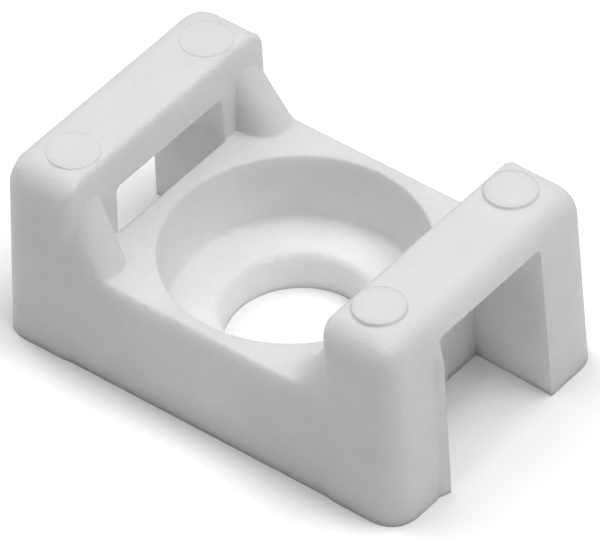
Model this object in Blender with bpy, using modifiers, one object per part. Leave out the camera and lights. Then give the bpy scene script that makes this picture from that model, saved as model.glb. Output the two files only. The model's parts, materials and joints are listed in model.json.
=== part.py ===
"""Screw-down cable tie mount, moulded in one piece.

A low saddle block carries a counterbored screw hole. An arch stands at each end of it, and each
arch has a pocket that is open at the outer end and underneath. The pocket breaks through above the
saddle, so a cable tie can be threaded under one bar, over the saddle and under the other bar.

Frame: +X along the tie, +Y across it, +Z up, origin at the middle of the flat underside.
"""
import math

import bmesh
import bpy
from mathutils import Vector

MM = 0.001

# Overall sizes
BASE_LENGTH = 18.0 * MM
BASE_WIDTH = 11.6 * MM
HEIGHT = 8.0 * MM
END_DRAFT = math.radians(2.1)
SIDE_DRAFT = math.radians(1.5)

# Saddle block between the arches
SADDLE_HEIGHT = 4.37 * MM
SADDLE_EDGE_INSET = 0.35 * MM
SADDLE_EDGE_DROP = 1.5 * MM
BLOCK_SIDE_DRAFT = math.radians(0.6)
ARCH_STAND_PROUD = 0.06 * MM
ARCH_CLEAR_SPAN = 11.2 * MM

# Arches: edge radii of the slab before the pocket is cut
ARCH_CORNER_RADIUS = 1.1 * MM
ARCH_INNER_CORNER_RADIUS = 0.55 * MM
BAR_OUTER_RADIUS = 1.1 * MM
BAR_INNER_RADIUS = 0.35 * MM
BAR_END_RADIUS = 1.25 * MM

# Gussets that tie each post to the saddle
GUSSET_SPACING = 7.4 * MM
GUSSET_DROP = 1.15 * MM
GUSSET_ANGLE = math.radians(30.5)
GUSSET_INNER_RADIUS = 0.6 * MM
GUSSET_SIDE_RADIUS = 1.42 * MM
GUSSET_FOOT_RADIUS = 0.25 * MM
GUSSET_FOOT_EDGE_RADIUS = 0.6 * MM

# Pocket under each bar: half widths shrink upwards by the draft and outwards by the taper
POCKET_WIDTH = 6.2 * MM
POCKET_DRAFT = math.radians(1.4)
POCKET_TAPER = math.radians(2.0)
BAR_INNER_THICKNESS = 1.65 * MM
BAR_OUTER_THICKNESS = 1.0 * MM
POCKET_ROOF_RADIUS = 0.25 * MM
POCKET_BREAKTHROUGH = 0.06 * MM

# Witness ribs that the mould insert leaves beside each pocket's outer mouth
RIB_FOOT_WIDTH = 0.54 * MM
RIB_TOP_WIDTH = 0.38 * MM
RIB_PROUD = 0.15 * MM
RIB_CREST_WIDTH = 0.22 * MM
RIB_CREST_FALL = 0.05 * MM
RIB_DROP = 0.2 * MM

# Counterbored screw hole
HOLE_DIAMETER = 5.4 * MM
COUNTERBORE_DIAMETER = 9.76 * MM
COUNTERBORE_DRAFT = math.radians(4.5)
SEAT_HEIGHT = 1.6 * MM
SEAT_FILLET = 0.2 * MM
RIM_RADIUS = 0.1 * MM
HOLE_ENTRY_RADIUS = 0.7 * MM

# Ejector pin marks on the bars: one per post
MARK_DIAMETER = 1.95 * MM
MARK_X = 6.82 * MM
MARK_Y = 3.7 * MM
MARK_RISE_FRONT = 0.12 * MM
MARK_RISE_BACK = 0.04 * MM

# Mesh settings
ROUND_STEPS = 64
MARK_STEPS = 40
EDGE_SEGMENTS = 5
SMALL_SEGMENTS = 3
OVERLAP = 0.6 * MM
CUTTER_REACH = 1.0 * MM
RELIEF = 0.004 * MM
FOOT_LEVELS = 4
TOUCH = 0.0005 * MM
MERGE = 0.001 * MM
SMOOTH_ANGLE = math.radians(30)

# Sizes that follow from the driving ones
INNER_PLANE = ARCH_CLEAR_SPAN / 2
OUTER_PLANE = BASE_LENGTH / 2
ARCH_HALF_WIDTH = BASE_WIDTH / 2
BLOCK_HALF_WIDTH = ARCH_HALF_WIDTH - ARCH_STAND_PROUD
GUSSET_INNER_SIDE = GUSSET_SPACING / 2
GUSSET_TOP = HEIGHT - GUSSET_DROP
POCKET_ROOF_INNER = HEIGHT - BAR_INNER_THICKNESS
POCKET_ROOF_OUTER = HEIGHT - BAR_OUTER_THICKNESS
RIB_TOP = POCKET_ROOF_OUTER - RIB_DROP
HOLE_RADIUS = HOLE_DIAMETER / 2
RIM_EDGE_RADIUS = COUNTERBORE_DIAMETER / 2

PART_NAME = "cable_tie_mount"


def clear_scene():
    for item in list(bpy.data.objects):
        bpy.data.objects.remove(item, do_unlink=True)


def new_collection(name):
    collection = bpy.data.collections.new(name)
    bpy.context.scene.collection.children.link(collection)
    return collection


def moulded_nylon():
    """Natural, unpigmented nylon: off-white, faintly translucent, matt from a fine spark finish."""
    material = bpy.data.materials.new("moulded_natural_nylon")
    material.use_nodes = True
    shader = material.node_tree.nodes["Principled BSDF"]
    shader.inputs["Base Color"].default_value = (0.79, 0.80, 0.79, 1.0)
    shader.inputs["Roughness"].default_value = 0.5
    shader.inputs["Metallic"].default_value = 0.0
    return material


def mesh_object(name, bm, collection):
    bmesh.ops.recalc_face_normals(bm, faces=bm.faces)
    mesh = bpy.data.meshes.new(name)
    bm.to_mesh(mesh)
    bm.free()
    item = bpy.data.objects.new(name, mesh)
    collection.objects.link(item)
    return item


def mark_as_tool(item):
    item.hide_render = True
    item.display_type = 'WIRE'
    return item


def box_mesh(x_range, y_range, z_range):
    """A cube primitive with its corners moved to the given ranges."""
    bm = bmesh.new()
    bmesh.ops.create_cube(bm, size=1.0)
    for vertex in bm.verts:
        vertex.co = Vector((
            x_range[vertex.co.x > 0],
            y_range[vertex.co.y > 0],
            z_range[vertex.co.z > 0],
        ))
    return bm


def arc(center, radius, start, end, steps):
    """Points of an arc in a flat profile, from the start angle to the end angle in degrees."""
    points = []
    for step in range(steps + 1):
        angle = math.radians(start + (end - start) * step / steps)
        points.append((center[0] + radius * math.cos(angle), center[1] + radius * math.sin(angle)))
    return points


def is_at(value, target):
    return abs(value - target) < TOUCH


def evaluated_mesh(item):
    bpy.context.view_layer.update()
    depsgraph = bpy.context.evaluated_depsgraph_get()
    return bpy.data.meshes.new_from_object(item.evaluated_get(depsgraph))


def add_boolean(item, other, operation):
    modifier = item.modifiers.new(f"{operation.lower()}_{other.name}", 'BOOLEAN')
    modifier.operation = operation
    modifier.solver = 'EXACT'
    modifier.object = other


def bevel_edges(bm, edges, radius, segments):
    bmesh.ops.bevel(
        bm,
        geom=edges,
        offset=radius,
        offset_type='OFFSET',
        segments=segments,
        profile=0.5,
        affect='EDGES',
        clamp_overlap=True,
    )


def slope_reach(z):
    """Distance of the gussets' sloping faces from the middle, at height z."""
    return INNER_PLANE - (GUSSET_TOP - z) * math.tan(GUSSET_ANGLE)


def foot_center_x():
    """Centre of the fillet arc that joins the saddle to a gusset's sloping face."""
    half_turn = (math.pi / 2 - GUSSET_ANGLE) / 2
    return slope_reach(SADDLE_HEIGHT) - GUSSET_FOOT_RADIUS * math.tan(half_turn)


def between(first, second, share):
    return first + (second - first) * min(1.0, max(0.0, share))


def edge_size(x):
    """Inset and drop of the side edge: a long crown on the saddle, a large radius up the gussets."""
    foot = foot_center_x()
    turn = (x - foot) / (GUSSET_FOOT_RADIUS * math.cos(GUSSET_ANGLE))
    climb = (x - foot) / (INNER_PLANE - foot)
    radius = between(GUSSET_FOOT_EDGE_RADIUS, GUSSET_SIDE_RADIUS, climb)
    return between(SADDLE_EDGE_INSET, radius, turn), between(SADDLE_EDGE_DROP, radius, turn)


def block_side(z):
    """Distance of the block's side from the middle, before everything is leaned by SIDE_DRAFT."""
    lean_left = math.tan(SIDE_DRAFT) - math.tan(BLOCK_SIDE_DRAFT)
    return BLOCK_HALF_WIDTH + min(z, SADDLE_HEIGHT) * lean_left


def cradle_stations():
    """Stations along the front half of the cradle's top: point and outward normal."""
    stations = []
    center = (foot_center_x(), SADDLE_HEIGHT + GUSSET_FOOT_RADIUS)
    sweep = math.degrees(GUSSET_ANGLE)
    for x, z in arc(center, GUSSET_FOOT_RADIUS, -90, -sweep, SMALL_SEGMENTS):
        normal = ((center[0] - x) / GUSSET_FOOT_RADIUS, (center[1] - z) / GUSSET_FOOT_RADIUS)
        stations.append(((x, z), normal))
    return stations


def cradle_ring(point, normal):
    """Half of a cross-section of the cradle: the top flat's end and the rounded edge beside it."""
    inset, drop = edge_size(point[0])
    ring = []
    for step in range(EDGE_SEGMENTS + 1):
        angle = math.pi / 2 * step / EDGE_SEGMENTS
        fall = drop * (1 - math.cos(angle))
        z = point[1] - normal[1] * fall
        y = block_side(z) - inset * (1 - math.sin(angle))
        ring.append((point[0] - normal[0] * fall, y, z))
    return ring


def cradle_end_ring():
    """The cross-section where the slopes run out, inside the arches, cut square to the length."""
    top = GUSSET_TOP + OVERLAP / math.tan(GUSSET_ANGLE)
    ring = []
    for step in range(EDGE_SEGMENTS + 1):
        angle = math.pi / 2 * step / EDGE_SEGMENTS
        drop = GUSSET_SIDE_RADIUS * (1 - math.cos(angle)) / math.sin(GUSSET_ANGLE)
        y = BLOCK_HALF_WIDTH - GUSSET_SIDE_RADIUS * (1 - math.sin(angle))
        ring.append((INNER_PLANE + OVERLAP, y, top - drop))
    return ring


def mirrored(points, x_sign, y_sign):
    return [(x * x_sign, y * y_sign, z) for x, y, z in points]


def loft(rings, name, collection):
    """Skin closed rings of equal length with quads and close both ends with flat caps."""
    bm = bmesh.new()
    rows = [[bm.verts.new(point) for point in ring] for ring in rings]
    for row, following in zip(rows, rows[1:]):
        for i in range(len(row)):
            j = (i + 1) % len(row)
            bm.faces.new((row[i], row[j], following[j], following[i]))
    bmesh.ops.holes_fill(bm, edges=[edge for edge in bm.edges if edge.is_boundary])
    bmesh.ops.remove_doubles(bm, verts=bm.verts, dist=MERGE)
    return mesh_object(name, bm, collection)


def cradle_skin(tools):
    """Saddle block and gusset slopes lofted along the length as one skin, closed underneath."""
    front = [cradle_ring(*station) for station in cradle_stations()] + [cradle_end_ring()]
    rings = []
    for half in [mirrored(ring, -1, 1) for ring in reversed(front)] + front:
        right = mirrored(reversed(half), 1, -1)
        foot = half[-1]
        rings.append([(foot[0], -BLOCK_HALF_WIDTH, 0.0)] + right + half
                     + [(foot[0], BLOCK_HALF_WIDTH, 0.0)])
    return loft(rings, "saddle_and_gussets", tools)


def gusset_edge_center_x(z):
    """Centre of the rounded edge between a gusset's sloping face and the channel, at height z."""
    return slope_reach(z) + GUSSET_INNER_RADIUS / math.cos(GUSSET_ANGLE)


def channel_outline(z):
    """Plan of the space between the gussets at height z, with their rounded inner edges spared."""
    height = z - SADDLE_HEIGHT
    foot_x = foot_center_x()
    blend = 0.0
    if height < GUSSET_FOOT_RADIUS:
        rest = GUSSET_FOOT_RADIUS - height
        blend = GUSSET_FOOT_RADIUS - math.sqrt(GUSSET_FOOT_RADIUS ** 2 - rest ** 2)
    face_x = slope_reach(z)
    if height < GUSSET_FOOT_RADIUS * (1 - math.sin(GUSSET_ANGLE)):
        face_x = foot_x + GUSSET_FOOT_RADIUS - blend
    center_x = gusset_edge_center_x(z)
    center_y = GUSSET_INNER_SIDE + GUSSET_INNER_RADIUS
    reach_x = center_x - face_x + RELIEF
    reach_y = GUSSET_INNER_RADIUS + blend
    channel_end = gusset_edge_center_x(HEIGHT + CUTTER_REACH) + CUTTER_REACH
    quarter = [(channel_end, center_y - reach_y, z)]
    for step in range(EDGE_SEGMENTS + 1):
        angle = math.pi / 2 * step / EDGE_SEGMENTS
        x = center_x - reach_x * math.sin(angle)
        y = center_y - reach_y * math.cos(angle)
        quarter.append((x, y, z))
    back = mirrored(reversed(quarter), -1, 1)
    return (quarter + back + mirrored(reversed(back), 1, -1) + mirrored(reversed(quarter), 1, -1))


def channel_cutter(tools):
    levels = [SADDLE_HEIGHT + GUSSET_FOOT_RADIUS * (1 - math.cos(math.pi / 2 * step / FOOT_LEVELS))
              for step in range(FOOT_LEVELS + 1)]
    levels.append(HEIGHT + CUTTER_REACH)
    rings = [channel_outline(z) for z in levels]
    return mark_as_tool(loft(rings, "channel_cutter", tools))


def cradle(tools):
    body = mark_as_tool(cradle_skin(tools))
    add_boolean(body, channel_cutter(tools), 'DIFFERENCE')
    return body


def arch_slab(side, tools):
    """One end slab, with every radius that the finished arch has on its outside."""
    near, far = side * INNER_PLANE, side * OUTER_PLANE
    bm = box_mesh(sorted((near, far)), (-ARCH_HALF_WIDTH, ARCH_HALF_WIDTH), (0.0, HEIGHT))
    weights = bm.edges.layers.float.new("bevel_weight_edge")
    widest = max(ARCH_CORNER_RADIUS, ARCH_INNER_CORNER_RADIUS, BAR_OUTER_RADIUS, BAR_INNER_RADIUS,
                 BAR_END_RADIUS)
    for edge in bm.edges:
        first, second = (vertex.co for vertex in edge.verts)
        outer = is_at(first.x, far) and is_at(second.x, far)
        if is_at(first.z, 0.0) and is_at(second.z, 0.0):
            radius = 0.0
        elif not is_at(first.z, second.z):
            radius = ARCH_CORNER_RADIUS if outer else ARCH_INNER_CORNER_RADIUS
        elif not is_at(first.x, second.x):
            radius = BAR_END_RADIUS
        else:
            radius = BAR_OUTER_RADIUS if outer else BAR_INNER_RADIUS
        edge[weights] = radius / widest
    slab = mark_as_tool(mesh_object(f"arch_slab_{'front' if side > 0 else 'back'}", bm, tools))
    bevel = slab.modifiers.new("edge_radii", 'BEVEL')
    bevel.limit_method = 'WEIGHT'
    bevel.width = widest
    bevel.segments = EDGE_SEGMENTS
    return slab


def pocket_half_width(x, z):
    """Half width of a pocket at distance x from the middle and height z."""
    inner_end = INNER_PLANE - POCKET_BREAKTHROUGH
    return POCKET_WIDTH / 2 - z * math.tan(POCKET_DRAFT) - (x - inner_end) * math.tan(POCKET_TAPER)


def roof_height(x):
    """Height of a pocket's sloping roof at distance x from the middle."""
    share = (x - INNER_PLANE) / (OUTER_PLANE - INNER_PLANE)
    return POCKET_ROOF_INNER + (POCKET_ROOF_OUTER - POCKET_ROOF_INNER) * share


def pocket_cutter(side, tools):
    inner_end = INNER_PLANE - POCKET_BREAKTHROUGH
    outer_end = OUTER_PLANE + CUTTER_REACH
    bm = bmesh.new()
    bmesh.ops.create_cube(bm, size=1.0)
    for vertex in bm.verts:
        x = outer_end if vertex.co.x > 0 else inner_end
        z = roof_height(x) if vertex.co.z > 0 else -CUTTER_REACH
        y = math.copysign(pocket_half_width(x, z), vertex.co.y)
        vertex.co = Vector((side * x, y, z))
    roof_edges = [edge for edge in bm.edges
                  if all(vertex.co.z > 0 for vertex in edge.verts)
                  and edge.verts[0].co.y * edge.verts[1].co.y > 0]
    bmesh.ops.recalc_face_normals(bm, faces=bm.faces)
    bevel_edges(bm, roof_edges, POCKET_ROOF_RADIUS, SMALL_SEGMENTS)
    return mark_as_tool(mesh_object(f"pocket_cutter_{'front' if side > 0 else 'back'}", bm, tools))


def rib_outline(z, width):
    """Plan of a witness rib at height z: it rises from the post's face towards the mouth."""
    mouth = pocket_half_width(OUTER_PLANE, z)
    return [
        (OUTER_PLANE - OVERLAP, mouth - OVERLAP, z),
        (OUTER_PLANE + RIB_PROUD, mouth - OVERLAP, z),
        (OUTER_PLANE + RIB_PROUD, mouth, z),
        (OUTER_PLANE + RIB_PROUD - RIB_CREST_FALL, mouth + RIB_CREST_WIDTH, z),
        (OUTER_PLANE, mouth + width, z),
        (OUTER_PLANE - OVERLAP, mouth + width, z),
    ]


def witness_rib(side, tools):
    """A thin rib beside a pocket's mouth; the pocket is cut through its inner side afterwards."""
    rings = [rib_outline(0.0, RIB_FOOT_WIDTH), rib_outline(RIB_TOP, RIB_TOP_WIDTH)]
    rings = [mirrored(ring, side, -1) for ring in rings]
    name = f"witness_rib_{'front' if side > 0 else 'back'}"
    return mark_as_tool(loft(rings, name, tools))


def apply_draft(mesh):
    """Lean the outer faces inwards: a point moves by its height and by how far out it lies."""
    arch_depth = OUTER_PLANE - INNER_PLANE
    for vertex in mesh.vertices:
        point = vertex.co
        outwards = max(0.0, (abs(point.x) - INNER_PLANE) / arch_depth)
        point.x -= math.copysign(point.z * math.tan(END_DRAFT) * min(1.0, outwards), point.x)
        sideways = max(0.0, (abs(point.y) - GUSSET_INNER_SIDE) / (ARCH_HALF_WIDTH - GUSSET_INNER_SIDE))
        point.y -= math.copysign(point.z * math.tan(SIDE_DRAFT) * min(1.0, sideways), point.y)


def bore_cutter(tools):
    """Counterbore, seat, rounded entry and screw hole as one turned profile."""
    wall_top = SADDLE_HEIGHT - RIM_RADIUS
    wall_foot = SEAT_HEIGHT + SEAT_FILLET
    foot_radius = RIM_EDGE_RADIUS - (wall_top - wall_foot) * math.tan(COUNTERBORE_DRAFT)
    entry_radius = HOLE_RADIUS + HOLE_ENTRY_RADIUS
    top = HEIGHT + CUTTER_REACH
    profile = [(0.0, top), (RIM_EDGE_RADIUS + RIM_RADIUS, top)]
    profile += arc((RIM_EDGE_RADIUS + RIM_RADIUS, wall_top), RIM_RADIUS, 90, 180, SMALL_SEGMENTS)
    profile += arc((foot_radius - SEAT_FILLET, wall_foot), SEAT_FILLET, 0, -90, SMALL_SEGMENTS)
    profile += arc((entry_radius, SEAT_HEIGHT - HOLE_ENTRY_RADIUS), HOLE_ENTRY_RADIUS, 90, 180,
                   EDGE_SEGMENTS)
    profile += [(HOLE_RADIUS, -CUTTER_REACH), (0.0, -CUTTER_REACH)]
    bm = bmesh.new()
    points = [bm.verts.new((radius, 0.0, z)) for radius, z in profile]
    for first, second in zip(points, points[1:]):
        bm.edges.new((first, second))
    mesh = bpy.data.meshes.new("bore_cutter")
    bm.to_mesh(mesh)
    bm.free()
    cutter = bpy.data.objects.new("bore_cutter", mesh)
    tools.objects.link(cutter)
    screw = cutter.modifiers.new("turn", 'SCREW')
    screw.axis = 'Z'
    screw.angle = math.tau
    screw.steps = ROUND_STEPS
    screw.render_steps = ROUND_STEPS
    screw.use_merge_vertices = True
    screw.merge_threshold = MERGE
    return mark_as_tool(cutter)


def ejector_mark(side, flank, tools):
    rise = MARK_RISE_FRONT if side > 0 else MARK_RISE_BACK
    depth = OVERLAP + rise
    bm = bmesh.new()
    bmesh.ops.create_cone(
        bm,
        cap_ends=True,
        segments=MARK_STEPS,
        radius1=MARK_DIAMETER / 2,
        radius2=MARK_DIAMETER / 2,
        depth=depth,
    )
    center = (side * MARK_X, flank * MARK_Y, HEIGHT + rise - depth / 2)
    bmesh.ops.translate(bm, verts=bm.verts, vec=center)
    name = f"ejector_mark_{'front' if side > 0 else 'back'}_{'left' if flank > 0 else 'right'}"
    return mark_as_tool(mesh_object(name, bm, tools))


def outer_body(tools):
    """Block, gussets, slabs and ribs joined while they are square, then leaned to their draft."""
    body = cradle(tools)
    for side in (1, -1):
        add_boolean(body, arch_slab(side, tools), 'UNION')
        add_boolean(body, witness_rib(side, tools), 'UNION')
    mesh = evaluated_mesh(body)
    apply_draft(mesh)
    return mesh


def build():
    clear_scene()
    parts = new_collection("screw_cable_tie_mount")
    tools = new_collection("tools")
    mount = bpy.data.objects.new(PART_NAME, outer_body(tools))
    parts.objects.link(mount)
    mount.data.name = PART_NAME
    mount.data.materials.clear()
    mount.data.materials.append(moulded_nylon())
    for side in (1, -1):
        for flank in (1, -1):
            add_boolean(mount, ejector_mark(side, flank, tools), 'UNION')
    add_boolean(mount, bore_cutter(tools), 'DIFFERENCE')
    for side in (1, -1):
        add_boolean(mount, pocket_cutter(side, tools), 'DIFFERENCE')
    mount.data.shade_smooth()
    mount.data.set_sharp_from_angle(angle=SMOOTH_ANGLE)


build()
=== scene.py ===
import json
import math

import bmesh
import bpy
from mathutils import Matrix, Vector

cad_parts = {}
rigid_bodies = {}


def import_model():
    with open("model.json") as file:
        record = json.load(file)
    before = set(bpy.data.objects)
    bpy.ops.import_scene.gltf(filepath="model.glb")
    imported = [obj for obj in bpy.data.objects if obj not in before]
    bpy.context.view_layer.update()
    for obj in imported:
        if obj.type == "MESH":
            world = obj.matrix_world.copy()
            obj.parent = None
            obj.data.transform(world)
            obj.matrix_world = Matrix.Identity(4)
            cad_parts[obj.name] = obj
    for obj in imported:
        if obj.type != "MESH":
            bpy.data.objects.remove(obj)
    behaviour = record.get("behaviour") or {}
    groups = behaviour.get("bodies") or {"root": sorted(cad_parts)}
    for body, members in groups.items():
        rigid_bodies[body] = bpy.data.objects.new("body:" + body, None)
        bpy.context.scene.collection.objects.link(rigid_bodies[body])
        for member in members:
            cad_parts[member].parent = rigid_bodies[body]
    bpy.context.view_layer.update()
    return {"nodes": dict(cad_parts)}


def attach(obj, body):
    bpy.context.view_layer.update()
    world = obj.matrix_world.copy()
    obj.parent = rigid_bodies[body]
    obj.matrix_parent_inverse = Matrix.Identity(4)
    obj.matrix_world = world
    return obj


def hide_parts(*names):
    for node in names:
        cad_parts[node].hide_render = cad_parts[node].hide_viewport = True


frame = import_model()

MM = 0.001
NODE = "cable_tie_mount"
scene = bpy.context.scene

# Ends along X and flanks along Y, as the sign of their side
FRONT = 1
BACK = -1
ENDS = (FRONT, BACK)
FLANKS = (1, -1)
RIB_FLANK = -1

# Overall sizes in metres, and the saddle block between the arches
BASE_LENGTH = 18.0 * MM
BASE_WIDTH = 11.6 * MM
HEIGHT = 8.0 * MM
END_DRAFT = math.radians(2.1)
SIDE_DRAFT = math.radians(1.5)
SADDLE_HEIGHT = 4.37 * MM
SADDLE_EDGE_INSET = 0.42 * MM
SADDLE_EDGE_DROP = 1.6 * MM
BLOCK_SIDE_DRAFT = math.radians(0.6)

# Arches: their place, and the edge radii of a slab before its pocket is cut
STAND_PROUD = 0.06 * MM
CLEAR_SPAN = 11.2 * MM
CORNER_RADIUS = 1.1 * MM
INNER_CORNER_RADIUS = 0.55 * MM
BAR_OUTER_RADIUS = 1.1 * MM
BAR_INNER_RADIUS = 0.35 * MM
BAR_END_RADIUS = 1.25 * MM

# Gussets: their feet are soft at the front arch and crisp at the back one
GUSSET_SPACING = 7.4 * MM
GUSSET_DROP = 1.15 * MM
GUSSET_ANGLE = math.radians(30.5)
GUSSET_INNER_RADIUS = 0.5 * MM
GUSSET_SIDE_RADIUS = 1.42 * MM
GUSSET_SET_BACK = 0.04 * MM
GUSSET_COVER = 0.05 * MM
GUSSET_DEPTH_IN_ARCH = 2.2 * MM
FOOT_INNER_RADIUS = {FRONT: 0.6 * MM, BACK: 0.95 * MM}
FOOT_EDGE_RADIUS = {FRONT: 1.4 * MM, BACK: 0.7 * MM}
FOOT_FILLET = {FRONT: 1.2 * MM, BACK: 0.12 * MM}

# Tie pockets, and the thin rib beside each pocket's mouth
POCKET_WIDTH = 6.2 * MM
POCKET_DRAFT = math.radians(1.4)
POCKET_TAPER = math.radians(2.0)
BAR_INNER_THICKNESS = 1.65 * MM
BAR_OUTER_THICKNESS = 1.0 * MM
ROOF_RADIUS = 0.25 * MM
BREAKTHROUGH = 0.06 * MM
RIB_FOOT_WIDTH = 0.54 * MM
RIB_TOP_WIDTH = 0.38 * MM
RIB_PROUD = 0.15 * MM
RIB_RECESS = 0.04 * MM
RIB_OVERCUT = 0.02 * MM
RIB_FOOT_RADIUS = 0.2 * MM
RIB_DROP = 0.5 * MM
RIB_FADE = 0.7 * MM

# Counterbored screw hole
HOLE_RADIUS = 2.7 * MM
HOLE_DRAFT = math.radians(2.5)
ENTRY_RADIUS = 0.4 * MM
SEAT_HEIGHT = 1.6 * MM
SEAT_FILLET = 0.2 * MM
BORE_DRAFT = math.radians(4.5)
RIM_EDGE_RADIUS = 4.88 * MM
RIM_RADIUS = 0.1 * MM

# Ejector pin marks, one over each post
MARK_RADIUS = 0.975 * MM
MARK_X = 6.82 * MM
MARK_Y = 3.7 * MM
MARK_RISE = {FRONT: 0.12 * MM, BACK: 0.025 * MM}

# Mesh steps, and how far tools reach into or past the body
EDGE_STEPS = 10
SMALL_STEPS = 8
GUSSET_LEVELS = 24
FILLET_STEPS = 12
BORE_STEPS = 144
MARK_STEPS = 72
INTO = 0.6 * MM
REACH = 1.0 * MM
TOUCH = 0.0005 * MM
MERGE = 0.001 * MM
SHARP_ANGLE = math.radians(12)

# Sizes that follow from the ones above
INNER = CLEAR_SPAN / 2
OUTER = BASE_LENGTH / 2
HALF_WIDTH = BASE_WIDTH / 2
BLOCK_HALF_WIDTH = HALF_WIDTH - STAND_PROUD
GUSSET_INNER_SIDE = GUSSET_SPACING / 2
GUSSET_TOP = HEIGHT - GUSSET_DROP
GUSSET_BACK = INNER + GUSSET_DEPTH_IN_ARCH
ROOF_INNER = HEIGHT - BAR_INNER_THICKNESS
ROOF_OUTER = HEIGHT - BAR_OUTER_THICKNESS
RIB_TOP = ROOF_OUTER - RIB_DROP

# Camera: on the -Y side, turned about 40 degrees towards +X, looking down at about 42 degrees
AZIMUTH = math.radians(40.448)
ELEVATION = math.radians(42.393)
ROLL = math.radians(-2.759)
DISTANCE = 319.3 * MM
AIM_RIGHT = 0.128 * MM
AIM_UP = 2.238 * MM
LENS_LENGTH_MM = 540
SENSOR_WIDTH_MM = 36
CLIP_START = 0.01
CLIP_END = 5.0

# Studio in metres: softboxes all at one distance from the origin, over a sheet of paper
SOFTBOX_DISTANCE = 0.45
SOFTBOX_DIAMETER = 0.28
SOFTBOX_AIM = Vector((0.0, 0.0, HEIGHT / 2))
PAPER_HALF_SIZE = 0.6


def linear(hex_colour):
    """An sRGB hex colour as the linear RGBA that shader sockets expect."""
    channels = [int(hex_colour[i:i + 2], 16) / 255 for i in (1, 3, 5)]
    values = [c / 12.92 if c <= 0.04045 else ((c + 0.055) / 1.055) ** 2.4 for c in channels]
    return (*values, 1.0)


def add_node(tree, kind, place, settings, inputs):
    """Adds a node with its settings; each input is a value or another node's output."""
    node = tree.nodes.new(kind)
    node.location = place
    for name, value in settings.items():
        setattr(node, name, value)
    for name, value in inputs.items():
        if isinstance(value, bpy.types.NodeSocket):
            tree.links.new(value, node.inputs[name])
        else:
            node.inputs[name].default_value = value
    return node


def moulded_nylon():
    """Natural PA66 from a spark-eroded mould: an even matt off-white, lightly translucent."""
    material = bpy.data.materials.new("moulded_natural_PA66_nylon")
    material.use_nodes = True
    tree = material.node_tree
    shader = tree.nodes["Principled BSDF"]
    shader.inputs["IOR"].default_value = 1.53
    # Light spreads about a millimetre under the surface, which softens the edges
    shader.inputs["Subsurface Weight"].default_value = 0.65
    shader.inputs["Subsurface Radius"].default_value = (1.0, 0.96, 0.9)
    shader.inputs["Subsurface Scale"].default_value = 1.0 * MM

    coordinates = add_node(tree, 'ShaderNodeTexCoord', (-1380, 0), {}, {})
    # Melt flow leaves soft clouds of slightly lighter and darker nylon some 2 mm across
    clouds = add_node(tree, 'ShaderNodeTexNoise', (-1120, 300), {}, {
        "Vector": coordinates.outputs["Object"],
        "Scale": 1 / (2.0 * MM),
        "Detail": 3.0,
        "Roughness": 0.6,
    })
    # Sparks leave craters of 0.03 mm, too fine to show; 0.09 mm is the finest that does
    craters = add_node(tree, 'ShaderNodeTexNoise', (-1120, -40), {}, {
        "Vector": coordinates.outputs["Object"],
        "Scale": 1 / (0.09 * MM),
        "Detail": 2.0,
        "Roughness": 0.6,
    })
    # Each pattern swings round 0.5, so their sum swings round 1
    speckle = add_node(tree, 'ShaderNodeMath', (-860, 300), {"operation": 'ADD'}, {
        0: clouds.outputs["Fac"],
        1: craters.outputs["Fac"],
    })
    share = add_node(tree, 'ShaderNodeMapRange', (-700, 300), {}, {
        "Value": speckle.outputs["Value"],
        "From Min": 0.6,
        "From Max": 1.4,
    })
    tint = add_node(tree, 'ShaderNodeMix', (-500, 300), {"data_type": 'RGBA'}, {
        "Factor": share.outputs["Result"],
        6: linear("#EDEDED"),
        7: linear("#F7F7F7"),
    })
    tree.links.new(tint.outputs[2], shader.inputs["Base Color"])
    # Crater floors are smoother than the ridges between them
    gloss = add_node(tree, 'ShaderNodeMapRange', (-500, -20), {}, {
        "Value": craters.outputs["Fac"],
        "To Min": 0.42,
        "To Max": 0.62,
    })
    tree.links.new(gloss.outputs["Result"], shader.inputs["Roughness"])

    # Moulded edges and inside corners have a radius of about 0.1 mm, the parting line at the
    # base has none
    height = add_node(tree, 'ShaderNodeSeparateXYZ', (-1120, -380), {}, {
        "Vector": coordinates.outputs["Object"],
    })
    radius = add_node(tree, 'ShaderNodeMapRange', (-860, -380), {}, {
        "Value": height.outputs["Z"],
        "From Min": 0.1 * MM,
        "From Max": 0.3 * MM,
        "To Max": 0.1 * MM,
    })
    edges = add_node(tree, 'ShaderNodeBevel', (-600, -380), {"samples": 6}, {
        "Radius": radius.outputs["Result"],
    })
    grain = add_node(tree, 'ShaderNodeBump', (-280, -240), {}, {
        "Strength": 1.0,
        "Distance": 0.025 * MM,
        "Height": craters.outputs["Fac"],
        "Normal": edges.outputs["Normal"],
    })
    tree.links.new(grain.outputs["Normal"], shader.inputs["Normal"])
    return material


def new_piece(name, bm):
    """Makes the bmesh an object of its own, with its faces turned outwards."""
    bmesh.ops.recalc_face_normals(bm, faces=bm.faces)
    mesh = bpy.data.meshes.new(name)
    bm.to_mesh(mesh)
    bm.free()
    piece = bpy.data.objects.new(name, mesh)
    scene.collection.objects.link(piece)
    return piece


def shaped_box(x_range, y_range, z_range):
    bm = bmesh.new()
    bmesh.ops.create_cube(bm, size=1.0)
    for vertex in bm.verts:
        vertex.co = Vector((
            x_range[vertex.co.x > 0],
            y_range[vertex.co.y > 0],
            z_range[vertex.co.z > 0],
        ))
    return bm


def arc(center, radius, start, end, steps):
    """Points along an arc, from start to end in degrees."""
    points = []
    for step in range(steps + 1):
        angle = math.radians(start + (end - start) * step / steps)
        points.append((center[0] + radius * math.cos(angle), center[1] + radius * math.sin(angle)))
    return points


def near(value, target):
    return abs(value - target) < TOUCH


def between(first, second, share):
    return first + (second - first) * min(1.0, max(0.0, share))


def flipped(points, x_sign, y_sign):
    return [(x * x_sign, y * y_sign, z) for x, y, z in points]


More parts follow.
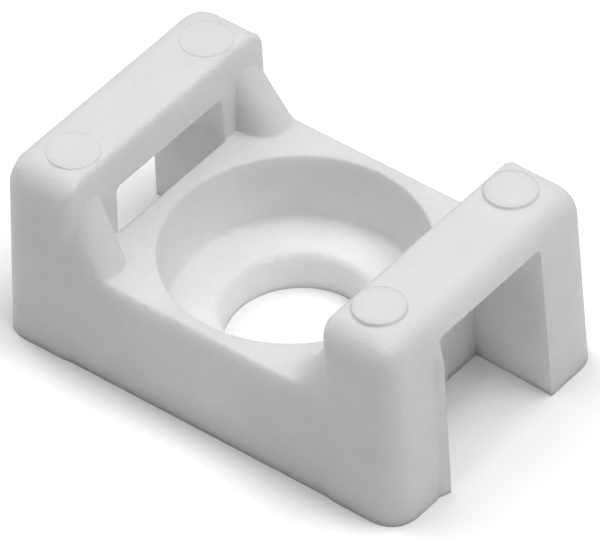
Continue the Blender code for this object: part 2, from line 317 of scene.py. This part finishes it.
def boolean(piece, other, operation):
    modifier = piece.modifiers.new(other.name, 'BOOLEAN')
    modifier.operation = operation
    modifier.solver = 'EXACT'
    modifier.object = other
    other.hide_render = True


def baked(piece):
    """The piece's mesh with its modifiers applied."""
    bpy.context.view_layer.update()
    evaluated = piece.evaluated_get(bpy.context.evaluated_depsgraph_get())
    return bpy.data.meshes.new_from_object(evaluated)


def loft(name, rings):
    """Skins closed rings of equal length with quads and caps both ends."""
    bm = bmesh.new()
    rows = [[bm.verts.new(point) for point in ring] for ring in rings]
    for row, following in zip(rows, rows[1:]):
        for i in range(len(row)):
            j = (i + 1) % len(row)
            bm.faces.new((row[i], row[j], following[j], following[i]))
    bmesh.ops.holes_fill(bm, edges=[edge for edge in bm.edges if edge.is_boundary])
    bmesh.ops.remove_doubles(bm, verts=bm.verts, dist=MERGE)
    return new_piece(name, bm)


def slope_reach(z):
    """Distance of the gussets' sloping faces from the middle, at height z."""
    return INNER - (GUSSET_TOP - z) * math.tan(GUSSET_ANGLE)


def block_side(z):
    """Distance of the block's side from the middle, before everything is leaned by SIDE_DRAFT."""
    lean_left = math.tan(SIDE_DRAFT) - math.tan(BLOCK_SIDE_DRAFT)
    return BLOCK_HALF_WIDTH + min(z, SADDLE_HEIGHT) * lean_left


def saddle():
    """The block between the arches: its section, with long crowned side edges, drawn out along X."""
    edge = []
    for step in range(EDGE_STEPS + 1):
        angle = math.pi / 2 * step / EDGE_STEPS
        z = SADDLE_HEIGHT - SADDLE_EDGE_DROP * (1 - math.cos(angle))
        edge.append((-INNER - INTO, block_side(z) - SADDLE_EDGE_INSET * (1 - math.sin(angle)), z))
    edge.append((-INNER - INTO, BLOCK_HALF_WIDTH, 0.0))
    bm = bmesh.new()
    section = bm.faces.new([bm.verts.new(point) for point in edge + flipped(reversed(edge), 1, -1)])
    drawn = bmesh.ops.extrude_face_region(bm, geom=[section])
    moved = [item for item in drawn["geom"] if isinstance(item, bmesh.types.BMVert)]
    bmesh.ops.translate(bm, verts=moved, vec=(2 * (INNER + INTO), 0.0, 0.0))
    return new_piece("saddle", bm)


def crown_drop(y):
    """How far the saddle's crowned edge has fallen at y."""
    start = block_side(SADDLE_HEIGHT) - SADDLE_EDGE_INSET
    share = between(0.0, 1.0, (y - start) / SADDLE_EDGE_INSET)
    return SADDLE_EDGE_DROP * (1 - math.sqrt(1 - share ** 2))


def gusset_outline(end, z, face):
    """A gusset's front line at x = face with its rounded edges, lowered over the saddle's crown."""
    climb = (z - SADDLE_HEIGHT) / (GUSSET_TOP - SADDLE_HEIGHT)
    inner = between(FOOT_INNER_RADIUS[end], GUSSET_INNER_RADIUS, climb)
    outer = between(FOOT_EDGE_RADIUS[end], GUSSET_SIDE_RADIUS, math.sqrt(max(climb, 0.0)))
    stretch = 1 / math.cos(GUSSET_ANGLE)
    flank_y = block_side(z) - GUSSET_SET_BACK
    points = [(GUSSET_BACK, GUSSET_INNER_SIDE, z)]
    turns = [math.pi / 2 * step / EDGE_STEPS for step in range(EDGE_STEPS + 1)]
    for turn in turns:
        x = face + inner * stretch * (1 - math.sin(turn))
        points.append((x, GUSSET_INNER_SIDE + inner * (1 - math.cos(turn)), z))
    for turn in turns:
        x = face + outer * stretch * (1 - math.cos(turn))
        points.append((x, flank_y - outer * (1 - math.sin(turn)), z))
    points.append((GUSSET_BACK, flank_y, z))
    sunk = 1 - between(0.0, 1.0, climb)
    return [(x, y, level - crown_drop(y) * sunk) for x, y, level in points]


def gusset_levels(fillet):
    """Height and front line of each outline: inside the saddle, up the foot fillet and the slope."""
    turn = math.pi / 2 - GUSSET_ANGLE
    toe = slope_reach(SADDLE_HEIGHT) - fillet * math.tan(turn / 2)
    levels = [(SADDLE_HEIGHT - SADDLE_EDGE_DROP, toe - SADDLE_EDGE_DROP * math.tan(GUSSET_ANGLE))]
    for step in range(FILLET_STEPS + 1):
        angle = turn * step / FILLET_STEPS
        levels.append((SADDLE_HEIGHT + fillet * (1 - math.cos(angle)), toe + fillet * math.sin(angle)))
    start = levels[-1][0]
    rise = GUSSET_TOP + GUSSET_COVER - start
    slope = [start + rise * (step + 1) / GUSSET_LEVELS for step in range(GUSSET_LEVELS)]
    return levels + [(z, slope_reach(z)) for z in slope]


def gusset(end, flank):
    """Sloping web from the saddle up to an arch; its foot and top end inside them."""
    levels = gusset_levels(FOOT_FILLET[end])
    rings = [flipped(gusset_outline(end, z, face), end, flank) for z, face in levels]
    return loft(f"gusset_{end}_{flank}", rings)


def arch(end):
    """An end slab with its edge radii, before the tie pocket is cut."""
    far = end * OUTER
    bm = shaped_box(sorted((end * INNER, far)), (-HALF_WIDTH, HALF_WIDTH), (0.0, HEIGHT))
    weights = bm.edges.layers.float.new("bevel_weight_edge")
    for edge in bm.edges:
        first, second = (vertex.co for vertex in edge.verts)
        outer = near(first.x, far) and near(second.x, far)
        if near(first.z, 0.0) and near(second.z, 0.0):
            radius = 0.0
        elif not near(first.z, second.z):
            radius = CORNER_RADIUS if outer else INNER_CORNER_RADIUS
        elif not near(first.x, second.x):
            radius = BAR_END_RADIUS
        else:
            radius = BAR_OUTER_RADIUS if outer else BAR_INNER_RADIUS
        edge[weights] = radius / BAR_END_RADIUS
    slab = new_piece(f"arch_{end}", bm)
    bevel = slab.modifiers.new("radii", 'BEVEL')
    bevel.limit_method = 'WEIGHT'
    bevel.width = BAR_END_RADIUS
    bevel.segments = EDGE_STEPS
    return slab


def pocket_half_width(x, z):
    """Half of a pocket's width, which shrinks upwards by its draft and outwards by its taper."""
    inner_end = INNER - BREAKTHROUGH
    return POCKET_WIDTH / 2 - z * math.tan(POCKET_DRAFT) - (x - inner_end) * math.tan(POCKET_TAPER)


def pocket(end):
    """The hollow under one bar, open at the bottom and the outer end, drafted both ways."""
    bm = bmesh.new()
    bmesh.ops.create_cube(bm, size=1.0)
    for vertex in bm.verts:
        x = OUTER + REACH if vertex.co.x > 0 else INNER - BREAKTHROUGH
        roof = ROOF_INNER + (ROOF_OUTER - ROOF_INNER) * (x - INNER) / (OUTER - INNER)
        z = roof if vertex.co.z > 0 else -REACH
        vertex.co = Vector((end * x, math.copysign(pocket_half_width(x, z), vertex.co.y), z))
    bmesh.ops.recalc_face_normals(bm, faces=bm.faces)
    roof_edges = [edge for edge in bm.edges if all(vertex.co.z > 0 for vertex in edge.verts)
                  and edge.verts[0].co.y * edge.verts[1].co.y > 0]
    bmesh.ops.bevel(bm, geom=roof_edges, offset=ROOF_RADIUS, offset_type='OFFSET', affect='EDGES',
                    segments=SMALL_STEPS, profile=0.5, material=-1, clamp_overlap=True)
    return new_piece(f"pocket_{end}", bm)


def rib_stations():
    """Along the rib: height, width and how much of its full relief it has before it fades out."""
    foot = [RIB_FOOT_RADIUS * step / SMALL_STEPS for step in range(SMALL_STEPS + 1)]
    stations = []
    for z in foot + [RIB_TOP - RIB_FADE, RIB_TOP]:
        width = between(RIB_FOOT_WIDTH, RIB_TOP_WIDTH, z / RIB_TOP)
        stations.append((z, width, min(1.0, (RIB_TOP - z) / RIB_FADE)))
    return stations


def rib(end):
    """Blank of the thin strip beside a pocket's mouth where the mould insert shut off."""
    rings = []
    for z, width, relief in rib_stations():
        low = max(0.0, 1 - z / RIB_FOOT_RADIUS)
        short = RIB_FOOT_RADIUS * (1 - math.sqrt(1 - low ** 2))
        mouth = pocket_half_width(OUTER, z)
        front = OUTER + RIB_PROUD * relief
        ring = [
            (OUTER - INTO, mouth - INTO, z),
            (front, mouth - INTO, z),
            (front, mouth + short, z),
            (front, mouth + width, z),
            (OUTER - INTO, mouth + width, z),
        ]
        rings.append(flipped(ring, end, RIB_FLANK))
    return loft(f"rib_{end}", rings)


def rib_face(end):
    """What the strip's slanting face leaves free: it rises to the mouth from a fine step."""
    rings = []
    for z, width, relief in [(-REACH, RIB_FOOT_WIDTH, 1.0)] + rib_stations()[1:]:
        mouth = pocket_half_width(OUTER, max(z, 0.0))
        slant = (RIB_PROUD + RIB_RECESS) * relief / width
        high = OUTER + RIB_PROUD * relief
        ring = [
            (high + slant * INTO, mouth - INTO, z),
            (high - slant * (width + RIB_OVERCUT), mouth + width + RIB_OVERCUT, z),
            (OUTER + INTO, mouth + width + RIB_OVERCUT, z),
            (OUTER + INTO, mouth - INTO, z),
        ]
        rings.append(flipped(ring, end, RIB_FLANK))
    return loft(f"rib_face_{end}", rings)


def bore():
    """Counterbore with a drafted wall, flat seat, rounded entry and the screw hole, turned."""
    wall_top = SADDLE_HEIGHT - RIM_RADIUS
    wall_foot = SEAT_HEIGHT + SEAT_FILLET
    foot_radius = RIM_EDGE_RADIUS - (wall_top - wall_foot) * math.tan(BORE_DRAFT)
    profile = [(0.0, HEIGHT + REACH), (RIM_EDGE_RADIUS + RIM_RADIUS, HEIGHT + REACH)]
    profile += arc((RIM_EDGE_RADIUS + RIM_RADIUS, wall_top), RIM_RADIUS, 90, 180, SMALL_STEPS)
    profile += arc((foot_radius - SEAT_FILLET, wall_foot), SEAT_FILLET, 0, -90, SMALL_STEPS)
    entry = SEAT_HEIGHT - ENTRY_RADIUS
    hole_top = HOLE_RADIUS + entry * math.tan(HOLE_DRAFT)
    hole_foot = HOLE_RADIUS - REACH * math.tan(HOLE_DRAFT)
    profile += arc((hole_top + ENTRY_RADIUS, entry), ENTRY_RADIUS, 90, 180, EDGE_STEPS)
    profile += [(hole_foot, -REACH), (0.0, -REACH)]
    bm = bmesh.new()
    points = [bm.verts.new((radius, 0.0, z)) for radius, z in profile]
    edges = [bm.edges.new(pair) for pair in zip(points, points[1:])]
    bmesh.ops.spin(bm, geom=points + edges, cent=(0, 0, 0), axis=(0, 0, 1), dvec=(0, 0, 0),
                   angle=math.tau, steps=BORE_STEPS, use_merge=True, use_duplicate=False)
    bmesh.ops.remove_doubles(bm, verts=bm.verts, dist=MERGE)
    return new_piece("bore", bm)


def mark(end, flank):
    """The low disc that an ejector pin leaves on a bar."""
    depth = INTO + MARK_RISE[end]
    bm = bmesh.new()
    bmesh.ops.create_cone(bm, cap_ends=True, segments=MARK_STEPS, radius1=MARK_RADIUS,
                          radius2=MARK_RADIUS, depth=depth)
    lift = HEIGHT + MARK_RISE[end] - depth / 2
    bmesh.ops.translate(bm, verts=bm.verts, vec=(end * MARK_X, flank * MARK_Y, lift))
    return new_piece(f"mark_{end}_{flank}", bm)


def lean(mesh):
    """Draft on the outer faces: a point moves in by its height and by how far out it lies."""
    for vertex in mesh.vertices:
        point = vertex.co
        along = between(0.0, 1.0, (abs(point.x) - INNER) / (OUTER - INNER))
        across = between(0.0, 1.0, (abs(point.y) - GUSSET_INNER_SIDE) / (HALF_WIDTH - GUSSET_INNER_SIDE))
        point.x -= math.copysign(point.z * math.tan(END_DRAFT) * along, point.x)
        point.y -= math.copysign(point.z * math.tan(SIDE_DRAFT) * across, point.y)


def moulded_body():
    """The whole mount as one shell: joined, leaned to its draft, then marked and cut."""
    body = saddle()
    for end in ENDS:
        boolean(body, arch(end), 'UNION')
        for flank in FLANKS:
            boolean(body, gusset(end, flank), 'UNION')
        boolean(body, rib(end), 'UNION')
        boolean(body, rib_face(end), 'DIFFERENCE')
    leaned = baked(body)
    lean(leaned)
    mount = bpy.data.objects.new("moulded_mount", leaned)
    scene.collection.objects.link(mount)
    for end in ENDS:
        for flank in FLANKS:
            boolean(mount, mark(end, flank), 'UNION')
    boolean(mount, bore(), 'DIFFERENCE')
    for end in ENDS:
        boolean(mount, pocket(end), 'DIFFERENCE')
    finished = baked(mount)
    mount.modifiers.clear()
    mount.data = finished
    for piece in list(bpy.data.objects):
        if piece.type == 'MESH' and piece not in (mount, frame["nodes"][NODE]):
            bpy.data.objects.remove(piece, do_unlink=True)
    return mount


def white_paper():
    """Uncoated white paper: dead matt, so it takes a soft shadow and no reflection; near the object,
    painted shade deepens that shadow.
    """
    material = bpy.data.materials.new("white_paper")
    material.use_nodes = True
    tree = material.node_tree
    shader = tree.nodes["Principled BSDF"]
    shader.inputs["Base Color"].default_value = linear("#F8F8F8")
    shader.inputs["Roughness"].default_value = 0.9
    shader.inputs["Specular IOR Level"].default_value = 0.0

    # The camera sees the open paper lighter, which turns it white beyond the object's shadow;
    # # the lift fades where something within 7 mm, a little less than the object's height, covers it, so
    # painted shade darkens the paper around the object
    rays = add_node(tree, 'ShaderNodeLightPath', (-780, -320), {}, {})
    occlusion_for_painted_shade = add_node(tree, 'ShaderNodeAmbientOcclusion', (-780, -60), {"samples": 16}, {
        "Distance": 7.0 * MM,
    })
    # Painted shade: the camera-only lift shrinks as occlusion grows near the object
    lift_with_painted_shade = add_node(tree, 'ShaderNodeMapRange', (-520, -120), {}, {
        "Value": occlusion_for_painted_shade.outputs["AO"],
        "From Min": 0.55,
        "From Max": 0.8,
        "To Min": 0.03,
        "To Max": 0.42,
    })
    share = add_node(tree, 'ShaderNodeMath', (-260, -320), {"operation": 'MULTIPLY'}, {
        0: rays.outputs["Is Camera Ray"],
        1: lift_with_painted_shade.outputs["Result"],
    })
    lift = add_node(tree, 'ShaderNodeBsdfDiffuse', (0, -320), {}, {
        "Color": share.outputs["Value"],
    })
    total = add_node(tree, 'ShaderNodeAddShader', (260, 0), {}, {
        0: shader.outputs["BSDF"],
        1: lift.outputs["BSDF"],
    })
    tree.links.new(total.outputs["Shader"], tree.nodes["Material Output"].inputs["Surface"])
    return material


def paper_sheet():
    mesh = bpy.data.meshes.new("floor")
    bm = bmesh.new()
    bmesh.ops.create_grid(bm, x_segments=1, y_segments=1, size=PAPER_HALF_SIZE)
    bm.to_mesh(mesh)
    bm.free()
    mesh.materials.append(white_paper())
    sheet = bpy.data.objects.new("floor", mesh)
    scene.collection.objects.link(sheet)
    return sheet


def long_lens_camera():
    """A long lens, placed and turned as the photograph's perspective gives it."""
    look = Vector((
        -math.sin(AZIMUTH) * math.cos(ELEVATION),
        math.cos(AZIMUTH) * math.cos(ELEVATION),
        -math.sin(ELEVATION),
    ))
    level_right = Vector((math.cos(AZIMUTH), math.sin(AZIMUTH), 0.0))
    level_up = level_right.cross(look)
    right = level_right * math.cos(ROLL) + level_up * math.sin(ROLL)
    up = level_up * math.cos(ROLL) - level_right * math.sin(ROLL)
    place = level_right * AIM_RIGHT + level_up * AIM_UP - look * DISTANCE
    data = bpy.data.cameras.new("camera")
    data.lens = LENS_LENGTH_MM
    data.sensor_width = SENSOR_WIDTH_MM
    data.clip_start = CLIP_START
    data.clip_end = CLIP_END
    camera = bpy.data.objects.new("camera", data)
    scene.collection.objects.link(camera)
    camera.matrix_world = Matrix((
        (right.x, up.x, -look.x, place.x),
        (right.y, up.y, -look.y, place.y),
        (right.z, up.z, -look.z, place.z),
        (0.0, 0.0, 0.0, 1.0),
    ))
    return camera


def softbox(name, azimuth, elevation, watts):
    """A round softbox aimed at the object, azimuth from +X towards +Y, both angles in degrees."""
    turn = math.radians(azimuth)
    rise = math.radians(elevation)
    direction = Vector((
        math.cos(turn) * math.cos(rise),
        math.sin(turn) * math.cos(rise),
        math.sin(rise),
    ))
    light = bpy.data.lights.new(name, 'AREA')
    light.shape = 'DISK'
    light.size = SOFTBOX_DIAMETER
    light.energy = watts
    holder = bpy.data.objects.new(name, light)
    scene.collection.objects.link(holder)
    holder.location = direction * SOFTBOX_DISTANCE
    aim = SOFTBOX_AIM - holder.location
    holder.rotation_euler = aim.to_track_quat('-Z', 'Y').to_euler()


def studio_world():
    """White where the camera sees past the paper, and no light on the object."""
    world = bpy.data.worlds.new("studio")
    world.use_nodes = True
    tree = world.node_tree
    dark = tree.nodes["Background"]
    dark.inputs["Strength"].default_value = 0.0
    white = add_node(tree, 'ShaderNodeBackground', (0, -160), {}, {"Color": linear("#FFFFFF")})
    rays = add_node(tree, 'ShaderNodeLightPath', (0, 260), {}, {})
    choice = add_node(tree, 'ShaderNodeMixShader', (240, 0), {}, {
        0: rays.outputs["Is Camera Ray"],
        1: dark.outputs["Background"],
        2: white.outputs["Background"],
    })
    tree.links.new(choice.outputs["Shader"], tree.nodes["World Output"].inputs["Surface"])
    return world


mount = moulded_body()
mount.data.materials.clear()
mount.data.materials.append(moulded_nylon())
mount.data.shade_smooth()
mount.data.set_sharp_from_angle(angle=SHARP_ANGLE)
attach(mount, "root")
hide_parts(NODE)

floor = paper_sheet()

scene.camera = long_lens_camera()
softbox("overhead_softbox", 0, 90, 0.16)
softbox("front_softbox", 0, 64, 0.52)
softbox("right_softbox", 45, 64, 0.62)
softbox("back_softbox", 180, 64, 0.71)
softbox("low_back_softbox", 180, 16, 0.17)
scene.world = studio_world()
scene.view_settings.view_transform = 'Standard'
